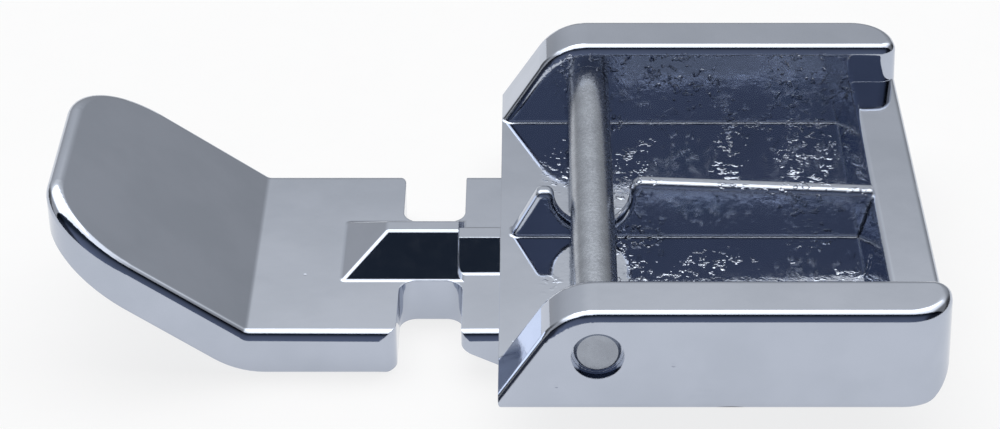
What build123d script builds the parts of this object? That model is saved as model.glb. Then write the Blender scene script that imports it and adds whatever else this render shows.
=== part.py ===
from build123d import *
import os
from math import cos, radians, tan

# Cross pin that the machine's ankle clips onto
pin_diameter = 2.0
pin_height = 5.36
pin_recess = 0.30
pin_end_chamfer = 0.12
pin_hole_mouth_diameter = 2.26
pin_hole_mouth_depth = 0.45

# Tray behind the needle, with one bay each side of the rib
bay_width = 9.42
tray_front = -4.22
tray_heel = 15.06
tray_floor_thickness = 0.59
tray_underside_round = 0.30
tray_front_roll = 0.35
tray_heel_roll = 1.7
tray_heel_corner = 2.2
tray_heel_inner_corner = 0.8
tray_floor_round = 0.15
deck_height = 3.21
wall_height = 7.39
wall_outer_half_width = 12.85
wall_outer_draft = 2.0
wall_inner_draft = 1.3
wall_front_slope = 57.5
wall_front_crown = 2.8
wall_edge_round = 0.47

# Low cross wall that closes the tray at the heel
rear_wall_height = 5.52
rear_wall_inner_foot = 12.35
rear_wall_inner_draft = 13.5
rear_wall_edge_round = 0.30

# Lengthwise rib with its scoop around the pin
rib_thickness = 0.88
rib_scoop_radius = 1.75
rib_nub_foot = -3.75
rib_nub_top = 5.58
rib_nub_slope = 62.0
rib_nub_round = 0.33
rib_top_front = 6.20
rib_top_rear = 5.63
rib_shoulder_round = 0.60
rib_edge_round = 0.30

# Sole plate with its turned up toe
sole_thickness = 2.13
sole_half_width = 6.80
sole_rear = 12.60
pad_setback = 0.05
sole_rear_roll = 1.80
sole_edge_round = 0.50
sole_bottom_round = 0.20
toe_crease = -15.53
toe_crease_round = 0.35
toe_tip = -24.43
toe_slope = 35.5
toe_thickness = 2.03
toe_bend_round = 4.0
toe_corner = 3.7

# Needle notches, one in each side of the sole
notch_front = -8.85
notch_rear = -5.93
notch_inner_corner = 0.80
notch_front_mouth_corner = 0.90
notch_rear_mouth_corner = 0.50
neck_half_width = 2.50
pad_ramp_height = 1.30
pad_ramp_slope = 26.0

# Hipped spine along the neck, with a lower tail up to the tray
spine_hip_foot = -11.53
spine_ridge_start = -9.48
spine_ridge_height = 3.53
spine_ridge_half_width = 0.40
spine_edge_round = 0.30
spine_foot_round = 0.30
spine_step = -6.15
tail_half_width = 1.95
tail_drop = 0.06

# Length by which a cutting body runs past the part, and reach of a search for edges
overrun = 2.0
touch = 0.01

os.makedirs("parts", exist_ok=True)


def side_solid(points, half_width):
    """A lengthwise outline in X and Z carried to both sides of the middle plane."""
    outline = make_face(Plane.XZ * Polyline(points, close=True))
    return extrude(outline, amount=half_width, both=True)


def section_solid(points, front, rear):
    """A cross section in Y and Z carried along X."""
    section = make_face(Plane.YZ * Polyline(points, close=True))
    return Pos(front, 0, 0) * extrude(section, amount=rear - front, dir=(1, 0, 0))


def near(value, target):
    """True where a measured place is on a named one."""
    return abs(value - target) < touch


def cross_edges(shape, x, z):
    """The straight edges across the part that pass through one point of the side view."""
    found = shape.edges().filter_by(Axis.Y)
    return found.filter_by(lambda e: near(e.center().X, x) and near(e.center().Z, z))


def level_edges(shape, z):
    """The edges that lie wholly at one height."""
    found = shape.edges()
    return found.filter_by(lambda e: near(e.bounding_box().min.Z, z) and near(e.bounding_box().max.Z, z))


# Tray block: drafted outside, rounded heel corners
tray_underside = deck_height - tray_floor_thickness
wall_rise = wall_height - tray_underside
draft_run = wall_rise * tan(radians(wall_outer_draft))
foot_half_width = wall_outer_half_width + draft_run
foot_heel = tray_heel + draft_run
foot_length = foot_heel - tray_front + 2 * overrun
foot_outline = Pos(foot_heel - foot_length / 2, 0) * Rectangle(foot_length, 2 * foot_half_width)
heel_points = foot_outline.vertices().filter_by(lambda v: v.X > 0)
foot_outline = fillet(heel_points, tray_heel_corner)
block = extrude(Pos(0, 0, tray_underside) * foot_outline, amount=wall_rise, taper=wall_outer_draft)

# Lower part of the tray: broken lower edge, rolled heel and front
lower_edges = level_edges(block, tray_underside).filter_by(lambda e: e.center().X > tray_front - overrun)
lower_block = fillet(lower_edges, tray_underside_round)
lower_side = side_solid(
    [
        (tray_front, tray_underside),
        (tray_front, wall_height),
        (tray_heel, wall_height),
        (foot_heel, tray_underside),
    ],
    2 * foot_half_width,
)
lower_side = fillet(cross_edges(lower_side, foot_heel, tray_underside), tray_heel_roll)
lower_side = fillet(cross_edges(lower_side, tray_front, tray_underside), tray_front_roll)
lower_block = lower_block & lower_side

# Side view of the walls: sloped fronts with a crown
cavity_rise = wall_height - deck_height
slope_run = cavity_rise / tan(radians(wall_front_slope))
slope_rest = (deck_height - tray_underside) / tan(radians(wall_front_slope))
crown_corner = tray_front + slope_run
crown_end = crown_corner + wall_front_crown * tan(radians(wall_front_slope / 2))
wall_side = side_solid(
    [
        (tray_front - slope_rest, tray_underside),
        (crown_corner, wall_height),
        (foot_heel + overrun, wall_height),
        (foot_heel + overrun, tray_underside),
    ],
    2 * foot_half_width,
)
wall_side = fillet(cross_edges(wall_side, crown_corner, wall_height), wall_front_crown)

# Inside of the tray: drafted walls, open in front and above the low rear wall
inner_half_width = rib_thickness / 2 + bay_width
inner_half_width_top = inner_half_width + cavity_rise * tan(radians(wall_inner_draft))
cavity = section_solid(
    [
        (-inner_half_width, deck_height),
        (-inner_half_width_top, wall_height),
        (inner_half_width_top, wall_height),
        (inner_half_width, deck_height),
    ],
    tray_front - 2 * overrun,
    foot_heel + overrun,
)
rear_wall_lean = (rear_wall_height - deck_height) * tan(radians(rear_wall_inner_draft))
rear_wall_front = rear_wall_inner_foot + rear_wall_lean
cavity_side = side_solid(
    [
        (tray_front - 2 * overrun, deck_height),
        (rear_wall_inner_foot, deck_height),
        (rear_wall_front, rear_wall_height),
        (foot_heel + overrun, rear_wall_height),
        (foot_heel + overrun, wall_height),
        (tray_front - 2 * overrun, wall_height),
    ],
    2 * inner_half_width,
)
tray = (block & wall_side) - (cavity & cavity_side)

# Rounds of the walls, then the lower block takes off what stands past it
heel_inner_edges = tray.edges().filter_by(
    lambda e: e.center().X > rear_wall_front + touch
    and abs(e.center().Y) < inner_half_width_top
    and rear_wall_height + touch < e.center().Z < wall_height - touch
)
tray = fillet(heel_inner_edges, tray_heel_inner_corner)
wall_top_edges = level_edges(tray, wall_height).filter_by(lambda e: e.center().X > crown_end + touch)
tray = fillet(wall_top_edges, wall_edge_round)
tray = tray & lower_block
rear_wall_edges = level_edges(tray, rear_wall_height).filter_by(Axis.Y)
tray = fillet(rear_wall_edges, rear_wall_edge_round)
floor_edges = level_edges(tray, deck_height).filter_by(
    lambda e: e.length > inner_half_width and e.center().X > tray_front + touch
)
tray = fillet(floor_edges, tray_floor_round)

# Rib: rounded nub, scoop around the pin, then a top that falls to the rear wall
pin_axis = Pos(0, 0, pin_height) * Rot(90, 0, 0)
nub_run = (rib_nub_top - deck_height) / tan(radians(rib_nub_slope))
rib = side_solid(
    [
        (rib_nub_foot, deck_height),
        (rib_nub_foot + nub_run, rib_nub_top),
        (0, rib_nub_top),
        (0, rib_top_front),
        (rear_wall_front, rib_top_rear),
        (rear_wall_front, tray_underside),
        (rib_nub_foot, tray_underside),
    ],
    rib_thickness / 2,
)
rib = rib - pin_axis * Cylinder(rib_scoop_radius, 2 * rib_thickness)
nub_edges = level_edges(rib, rib_nub_top).filter_by(Axis.Y).filter_by(lambda e: e.center().X < 0)
rib = fillet(nub_edges, rib_nub_round)
shoulder_edges = rib.edges().filter_by(Axis.Y).filter_by(
    lambda e: e.center().Z > rib_nub_top and 0 < e.center().X < rib_scoop_radius
)
rib = fillet(shoulder_edges, rib_shoulder_round)
rib_top_edges = rib.edges().filter_by(
    lambda e: near(abs(e.center().Y), rib_thickness / 2)
    and e.center().Z > rib_top_rear
    and e.center().X > 2 * rib_scoop_radius
)
rib = fillet(rib_top_edges, rib_edge_round)

# Sole: a strip whose toe turns up at the crease, thicker where it carries the tray
toe_rise = (toe_crease - toe_tip) * tan(radians(toe_slope))
toe_drop = toe_thickness / cos(radians(toe_slope))
toe_bend = toe_crease - (toe_drop - sole_thickness) / tan(radians(toe_slope))
pad_front = tray_front + pad_setback
pad_top = (tray_underside + deck_height) / 2
sole = side_solid(
    [
        (sole_rear, 0),
        (toe_bend, 0),
        (toe_tip, sole_thickness + toe_rise - toe_drop),
        (toe_tip, sole_thickness + toe_rise),
        (toe_crease, sole_thickness),
        (pad_front, sole_thickness),
        (pad_front, pad_top),
        (sole_rear, pad_top),
    ],
    sole_half_width,
)
sole = fillet(cross_edges(sole, sole_rear, 0), sole_rear_roll)
sole = fillet(cross_edges(sole, toe_bend, 0), toe_bend_round)
sole = fillet(cross_edges(sole, toe_crease, sole_thickness), toe_crease_round)
sole_length = sole_rear - toe_tip
sole_plan = Pos(toe_tip + sole_length / 2, 0) * Rectangle(sole_length, 2 * sole_half_width)
tip_points = sole_plan.vertices().filter_by(lambda v: near(v.X, toe_tip))
sole_plan = fillet(tip_points, toe_corner)
sole = sole & extrude(sole_plan, amount=sole_thickness + toe_rise)
sole_top_edges = level_edges(sole, sole_thickness).filter_by(Axis.X)
sole = fillet(sole_top_edges, sole_edge_round)
sole_bottom_edges = level_edges(sole, 0).filter_by(Axis.X)
sole = fillet(sole_bottom_edges, sole_bottom_round)

# Spine: hipped in front, with a lower and narrower tail behind
spine_low = sole_thickness / 2


def roof(half_width, ridge_height, front, rear):
    """A ridged bar along X whose flanks fall from the ridge to the top of the sole."""
    return section_solid(
        [
            (-half_width, spine_low),
            (-half_width, sole_thickness),
            (-spine_ridge_half_width, ridge_height),
            (spine_ridge_half_width, ridge_height),
            (half_width, sole_thickness),
            (half_width, spine_low),
        ],
        front,
        rear,
    )


hip_side = side_solid(
    [
        (spine_hip_foot, sole_thickness),
        (spine_ridge_start, spine_ridge_height),
        (spine_step, spine_ridge_height),
        (spine_step, spine_low),
        (spine_hip_foot, spine_low),
    ],
    2 * neck_half_width,
)
spine = roof(neck_half_width, spine_ridge_height, spine_hip_foot, spine_step) & hip_side
spine_edges = spine.edges().filter_by(
    lambda e: e.center().Z > sole_thickness + touch and e.center().X < spine_step - touch
)
spine = fillet(spine_edges, spine_edge_round)
tail_end = pad_front + overrun
tail = roof(tail_half_width, deck_height - tail_drop, spine_step, tail_end)
sole = sole + spine + tail
spine_foot_edges = level_edges(sole, sole_thickness).filter_by(
    lambda e: abs(e.center().Y) < neck_half_width + touch
    and spine_hip_foot - touch < e.center().X < pad_front - touch
)
sole = fillet(spine_foot_edges, spine_foot_round)

# Needle notch: rounded at its inner corners and at its mouth
notch_outline = make_face(
    Polyline(
        [
            (notch_front, neck_half_width),
            (notch_front, sole_half_width),
            (notch_front - overrun, sole_half_width),
            (notch_front - overrun, sole_half_width + overrun),
            (notch_rear + overrun, sole_half_width + overrun),
            (notch_rear + overrun, sole_half_width),
            (notch_rear, sole_half_width),
            (notch_rear, neck_half_width),
        ],
        close=True,
    )
)


def notch_points(x, y):
    """The corner of the notch outline at one place."""
    return notch_outline.vertices().filter_by(lambda v: near(v.X, x) and near(v.Y, y))


notch_outline = fillet(notch_points(notch_front, neck_half_width), notch_inner_corner)
notch_outline = fillet(notch_points(notch_rear, neck_half_width), notch_inner_corner)
notch_outline = fillet(notch_points(notch_front, sole_half_width), notch_front_mouth_corner)
notch_outline = fillet(notch_points(notch_rear, sole_half_width), notch_rear_mouth_corner)
notch = extrude(notch_outline, amount=2 * sole_thickness)

# Ramp on the lower edge of the sole behind each notch
ramp_run = pad_ramp_height / tan(radians(pad_ramp_slope))
ramp_points = [(notch_rear, 0), (notch_rear, pad_ramp_height), (notch_rear + ramp_run, 0)]
ramp_outline = make_face(Plane.XZ * Polyline(ramp_points, close=True))
ramp = extrude(ramp_outline, amount=sole_half_width - neck_half_width, dir=(0, 1, 0))
ramp = Pos(0, neck_half_width, 0) * ramp
sole = sole - notch - ramp
sole = sole - mirror(notch, Plane.XZ) - mirror(ramp, Plane.XZ)

# One casting, with the rib's feet blended into the tray floor
tray = tray + rib
rib_foot_edges = level_edges(tray, deck_height).filter_by(
    lambda e: near(abs(e.center().Y), rib_thickness / 2) and e.center().X > 0
)
tray = fillet(rib_foot_edges, tray_floor_round)
body = tray + sole

# Holes for the pin in both walls, each with a wider mouth
pin_radius = pin_diameter / 2
wall_at_pin = wall_outer_half_width + (wall_height - pin_height) * tan(radians(wall_outer_draft))
bore_length = wall_at_pin + overrun - inner_half_width
bore = Pos(0, inner_half_width + bore_length / 2, 0) * Rot(90, 0, 0) * Cylinder(pin_radius, bore_length)
mouth_length = pin_hole_mouth_depth + overrun
mouth_middle = wall_at_pin - pin_hole_mouth_depth + mouth_length / 2
mouth = Pos(0, mouth_middle, 0) * Rot(90, 0, 0) * Cylinder(pin_hole_mouth_diameter / 2, mouth_length)
pin_hole = Pos(0, 0, pin_height) * (bore + mouth)
body = body - pin_hole - mirror(pin_hole, Plane.XZ)

# Plain pin, pressed into both walls and set back from their outer faces
pin = Cylinder(pin_radius, 2 * (wall_at_pin - pin_recess))
pin = pin_axis * chamfer(pin.edges().filter_by(GeomType.CIRCLE), pin_end_chamfer)

export_step(body, "parts/foot_body.step")
export_step(pin, "parts/cross_pin.step")
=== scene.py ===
import math
import bpy
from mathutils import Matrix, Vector

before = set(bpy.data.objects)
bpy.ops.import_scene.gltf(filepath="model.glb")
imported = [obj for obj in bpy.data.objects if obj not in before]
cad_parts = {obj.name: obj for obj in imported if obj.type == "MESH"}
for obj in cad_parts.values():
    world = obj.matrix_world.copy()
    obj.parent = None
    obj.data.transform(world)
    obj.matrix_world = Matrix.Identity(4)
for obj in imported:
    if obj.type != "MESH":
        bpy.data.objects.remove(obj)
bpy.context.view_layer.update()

mm = 0.001
micron = 0.000001

# Depths of relief in the plating and on the pin
wave_depth = 14 * micron
peel_depth = 1.0 * micron
coarse_depth = 14 * micron
fleck_depth = 50 * micron
damage_depth = 10 * micron
pin_grain_depth = 4 * micron

# Nick on the lower near edge, painted near black as shade for the shadow line there: its middle and
# half its length and height
shaded_nick_middle_x = 5.7 * mm
shaded_nick_middle_z = 2.68 * mm
shaded_nick_half_length = 0.7 * mm
shaded_nick_half_height = 0.12 * mm

# Softening of sharp edges, wider along the rib's top
edge_softness = 0.06 * mm
rib_top_softness = 0.16 * mm

# Colours of the metals, clean and dulled, and the near-black painted shade of the nick
chrome_clean = (0.475, 0.515, 0.605, 1)
chrome_dull = (0.445, 0.485, 0.570, 1)
shaded_nick_colour = (0.02, 0.022, 0.028, 1)
steel_light = (0.36, 0.39, 0.445, 1)
steel_dark = (0.31, 0.335, 0.385, 1)

# Floor, light and camera
floor_size = 1.2
floor_white_share = 0.8
soft_box_energy = 0.8
soft_box_place = Vector((0, 0.33, 0.55))
camera_elevation = math.radians(32.80)
camera_distance = 126.1 * mm
camera_target = Vector((-2.9 * mm, 0, 4.15 * mm))


def add(tree, kind, inputs=None, **settings):
    """A shader node with its settings, and its inputs given as values or as sockets to link."""
    node = tree.nodes.new("ShaderNode" + kind)
    for name, value in settings.items():
        setattr(node, name, value)
    for name, value in (inputs or {}).items():
        if isinstance(value, bpy.types.NodeSocket):
            tree.links.new(value, node.inputs[name])
        else:
            node.inputs[name].default_value = value
    return node


def calc(tree, operation, first, second=0.0):
    """The result of one sum on two numbers or sockets."""
    return add(tree, "Math", {0: first, 1: second}, operation=operation).outputs[0]


def fade(tree, value, start, end, low=0.0, high=1.0):
    """A soft step from low to high while the value goes from start to end."""
    inputs = {"Value": value, "From Min": start, "From Max": end, "To Min": low, "To Max": high}
    return add(tree, "MapRange", inputs, interpolation_type="SMOOTHSTEP").outputs["Result"]


def product(tree, *factors):
    """All factors multiplied together."""
    result = factors[0]
    for factor in factors[1:]:
        result = calc(tree, "MULTIPLY", result, factor)
    return result


def grain(tree, coords, per_metre, detail=2.0, roughness=0.5):
    """Even random grain with a number of waves in each metre."""
    inputs = {"Vector": coords, "Scale": per_metre, "Detail": detail, "Roughness": roughness}
    return add(tree, "TexNoise", inputs).outputs["Fac"]


def bump(tree, height, depth, normal=None):
    """The surface normal with a relief of the given depth added to it."""
    inputs = {"Height": height, "Distance": depth, "Strength": 1.0}
    if normal is not None:
        inputs["Normal"] = normal
    return add(tree, "Bump", inputs).outputs["Normal"]


def mix_colour(tree, factor, first, second):
    """One colour fading into another."""
    node = tree.nodes.new("ShaderNodeMix")
    node.data_type = "RGBA"
    for index, value in ((0, factor), (6, first), (7, second)):
        if isinstance(value, bpy.types.NodeSocket):
            tree.links.new(value, node.inputs[index])
        else:
            node.inputs[index].default_value = value
    return node.outputs[2]


def new_material(name, metallic):
    """A material, its node tree and its surface node."""
    material = bpy.data.materials.new(name)
    material.use_nodes = True
    surface = material.node_tree.nodes["Principled BSDF"]
    surface.inputs["Metallic"].default_value = metallic
    return material, material.node_tree, surface


# Chrome plating on the rough casting: bright outside, coarse inside the tray
chrome, tree, surface = new_material("plated chrome", 1.0)
coords = add(tree, "TexCoord").outputs["Object"]
place = add(tree, "SeparateXYZ", {0: coords})
x, y, z = place.outputs
width = calc(tree, "ABSOLUTE", y)
inside = product(
    tree,
    fade(tree, x, -2.6 * mm, 0.6 * mm),
    fade(tree, x, 12.7 * mm, 12.95 * mm, 1.0, 0.0),
    fade(tree, width, 9.96 * mm, 10.08 * mm, 1.0, 0.0),
    fade(tree, z, 6.9 * mm, 7.2 * mm, 1.0, 0.0),
    fade(tree, z, 3.0 * mm, 3.1 * mm),
)
facing = add(tree, "SeparateXYZ", {0: add(tree, "NewGeometry").outputs["True Normal"]})
near_side = product(
    tree,
    fade(tree, facing.outputs["Y"], -0.9, -0.98),
    fade(tree, y, -12.0 * mm, -12.4 * mm),
)

cells = add(tree, "TexVoronoi", {"Vector": coords, "Scale": 620.0}, feature="F1")
chance = add(tree, "SeparateColor", {0: cells.outputs["Color"]}).outputs[0]
pit_size = fade(tree, chance, 0.55, 1.0, 0.0, 0.075)
pit_reach = calc(tree, "SUBTRACT", cells.outputs["Distance"], pit_size)
pits = product(tree, fade(tree, pit_reach, 0.0, -0.02), fade(tree, chance, 0.55, 0.6))

stroke_turn = (0, math.radians(38), 0)
stroke_waves = (900, 900, 9000)
turn = add(tree, "Mapping", {"Vector": coords, "Rotation": stroke_turn, "Scale": stroke_waves})
strokes = grain(tree, turn.outputs[0], 1.0, 2.0)
patches = grain(tree, coords, 220.0, 1.0)
low_side = fade(tree, z, 5.2 * mm, 3.4 * mm)
scratches = product(
    tree, near_side, low_side, fade(tree, strokes, 0.60, 0.72), fade(tree, patches, 0.42, 0.6)
)

# Painted shade: the nick on the lower near edge is coloured near black to stand in for the shadow
# line along the bottom edge
shaded_nick_x = calc(tree, "DIVIDE", calc(tree, "SUBTRACT", x, shaded_nick_middle_x), shaded_nick_half_length)
shaded_nick_z = calc(tree, "DIVIDE", calc(tree, "SUBTRACT", z, shaded_nick_middle_z), shaded_nick_half_height)
shaded_nick_x_square = calc(tree, "MULTIPLY", shaded_nick_x, shaded_nick_x)
shaded_nick_z_square = calc(tree, "MULTIPLY", shaded_nick_z, shaded_nick_z)
shaded_nick_reach = calc(tree, "ADD", shaded_nick_x_square, shaded_nick_z_square)
shaded_nick = product(tree, fade(tree, shaded_nick_reach, 1.0, 0.6), fade(tree, y, -12.6 * mm, -12.8 * mm))

rib_top = product(
    tree,
    fade(tree, width, 0.5 * mm, 0.6 * mm, 1.0, 0.0),
    fade(tree, z, 5.2 * mm, 5.4 * mm),
)
edge_size = fade(tree, rib_top, 0.0, 1.0, edge_softness, rib_top_softness)
edges = add(tree, "Bevel", {"Radius": edge_size}, samples=4).outputs["Normal"]
waves = bump(tree, grain(tree, coords, 160.0, 2.0), wave_depth, edges)
peel = bump(tree, grain(tree, coords, 1500.0, 2.0), peel_depth, waves)
coarse_height = calc(tree, "MULTIPLY", grain(tree, coords, 1000.0, 4.0, 0.7), inside)
coarse = bump(tree, coarse_height, coarse_depth, peel)
flecks = fade(tree, grain(tree, coords, 3000.0, 2.0), 0.56, 0.66)
clusters = fade(tree, grain(tree, coords, 330.0, 2.0), 0.46, 0.60)
coarse = bump(tree, product(tree, inside, flecks, clusters), fleck_depth, coarse)
damage_height = calc(tree, "SUBTRACT", calc(tree, "MULTIPLY", scratches, 0.25), pits)
damage = bump(tree, damage_height, damage_depth, coarse)

stain = fade(tree, grain(tree, coords, 300.0, 3.0), 0.35, 0.7)
colour = mix_colour(tree, stain, chrome_clean, chrome_dull)
# Painted shade of the nick laid over the chrome colour
colour = mix_colour(tree, shaded_nick, colour, shaded_nick_colour)
tree.links.new(colour, surface.inputs["Base Color"])
rough_spots = fade(tree, grain(tree, coords, 1800.0, 2.0), 0.4, 0.7, 0.0, 0.03)
rough = calc(tree, "ADD", rough_spots, calc(tree, "MULTIPLY", inside, 0.02))
rough = calc(tree, "ADD", rough, calc(tree, "MULTIPLY", calc(tree, "ADD", pits, scratches), 0.12))
tree.links.new(calc(tree, "ADD", rough, 0.05), surface.inputs["Roughness"])
tree.links.new(damage, surface.inputs["Normal"])

# Satin steel pin with fine grain
steel, tree, surface = new_material("satin pin steel", 1.0)
coords = add(tree, "TexCoord").outputs["Object"]
fine = grain(tree, coords, 7000.0, 2.0)
blotch = fade(tree, grain(tree, coords, 900.0, 3.0), 0.35, 0.7)
colour = mix_colour(tree, blotch, steel_light, steel_dark)
tree.links.new(colour, surface.inputs["Base Color"])
tree.links.new(fade(tree, fine, 0.3, 0.7, 0.20, 0.30), surface.inputs["Roughness"])
tree.links.new(bump(tree, fine, pin_grain_depth), surface.inputs["Normal"])

body = bpy.data.objects["foot_body"]
pin = bpy.data.objects["cross_pin"]
for piece, material in ((body, chrome), (pin, steel)):
    piece.data.materials.clear()
    piece.data.materials.append(material)

# White paper floor that keeps a faint shadow
bpy.ops.mesh.primitive_plane_add(size=floor_size, location=(0, 0, 0))
floor = bpy.context.object
floor.name = "floor"
paper, tree, surface = new_material("white paper", 0.0)
coords = add(tree, "TexCoord").outputs["Object"]
fibre = fade(tree, grain(tree, coords, 500.0, 2.0), 0.3, 0.7)
colour = mix_colour(tree, fibre, (0.90, 0.90, 0.90, 1), (0.88, 0.88, 0.88, 1))
tree.links.new(colour, surface.inputs["Base Color"])
surface.inputs["Roughness"].default_value = 0.9
path = add(tree, "LightPath")
seen = calc(tree, "MAXIMUM", path.outputs["Is Camera Ray"], path.outputs["Is Glossy Ray"])
seen = calc(tree, "MAXIMUM", seen, path.outputs["Is Transmission Ray"])
white = add(tree, "Emission", {"Color": (1, 1, 1, 1), "Strength": 1.0})
mixed = add(tree, "MixShader", {
    0: calc(tree, "MULTIPLY", seen, floor_white_share),
    1: surface.outputs[0],
    2: white.outputs[0],
})
tree.links.new(mixed.outputs[0], tree.nodes["Material Output"].inputs["Surface"])
floor.data.materials.append(paper)

# Room light by its angle from the far horizon, over the top, to the near horizon
world = bpy.data.worlds.new("studio")
bpy.context.scene.world = world
world.use_nodes = True
tree = world.node_tree
around = add(tree, "SeparateXYZ", {0: add(tree, "TexCoord").outputs["Generated"]})
angle = calc(tree, "ARCTAN2", around.outputs["Z"], around.outputs["Y"])
turned = calc(tree, "DIVIDE", angle, math.pi)
ramp = add(tree, "ValToRGB", {"Fac": turned})
stops = [
    (0, (0.42, 0.42, 0.42)),
    (12, (0.45, 0.455, 0.46)),
    (28, (0.63, 0.635, 0.635)),
    (32, (0.70, 0.705, 0.70)),
    (35, (0.90, 0.895, 0.875)),
    (38, (1.00, 1.00, 0.98)),
    (42, (1.30, 1.30, 1.28)),
    (46, (2.00, 2.00, 2.00)),
    (94, (2.00, 2.00, 2.00)),
    (97, (0.020, 0.028, 0.042)),
    (114, (0.020, 0.028, 0.042)),
    (135, (0.12, 0.14, 0.20)),
    (180, (0.16, 0.19, 0.27)),
]
elements = ramp.color_ramp.elements
for index, (degrees, shade) in enumerate(stops):
    if index == 0:
        element = elements[0]
    elif index == len(stops) - 1:
        element = elements[len(elements) - 1]
    else:
        element = elements.new(degrees / 180)
    element.position = degrees / 180
    element.color = shade + (1,)
tree.links.new(ramp.outputs["Color"], tree.nodes["Background"].inputs["Color"])
side_fall = calc(tree, "SUBTRACT", 1.0, calc(tree, "MULTIPLY", around.outputs["X"], 0.35))
ends = fade(tree, calc(tree, "ABSOLUTE", around.outputs["X"]), 0.58, 0.80, 1.0, 0.2)
tree.links.new(calc(tree, "MULTIPLY", side_fall, ends), tree.nodes["Background"].inputs["Strength"])

# Soft box above the far side
light = bpy.data.lights.new("soft box", "AREA")
light.shape = "RECTANGLE"
light.size = 0.7
light.size_y = 0.35
light.energy = soft_box_energy
lamp = bpy.data.objects.new("soft box", light)
bpy.context.scene.collection.objects.link(lamp)
lamp.location = soft_box_place
lamp.rotation_euler = (-lamp.location).to_track_quat("-Z", "Y").to_euler()

# Camera at the photograph's viewing angle
view = Vector((0, -math.cos(camera_elevation), math.sin(camera_elevation)))
camera_data = bpy.data.cameras.new("camera")
camera_data.lens = 98.0
camera_data.sensor_width = 36
camera_data.shift_x = -0.0288
camera_data.clip_start = 1 * mm
camera = bpy.data.objects.new("camera", camera_data)
bpy.context.scene.collection.objects.link(camera)
camera.location = camera_target + camera_distance * view
camera.rotation_euler = (camera_target - camera.location).to_track_quat("-Z", "Y").to_euler()
bpy.context.scene.camera = camera
bpy.context.scene.view_settings.view_transform = "Standard"
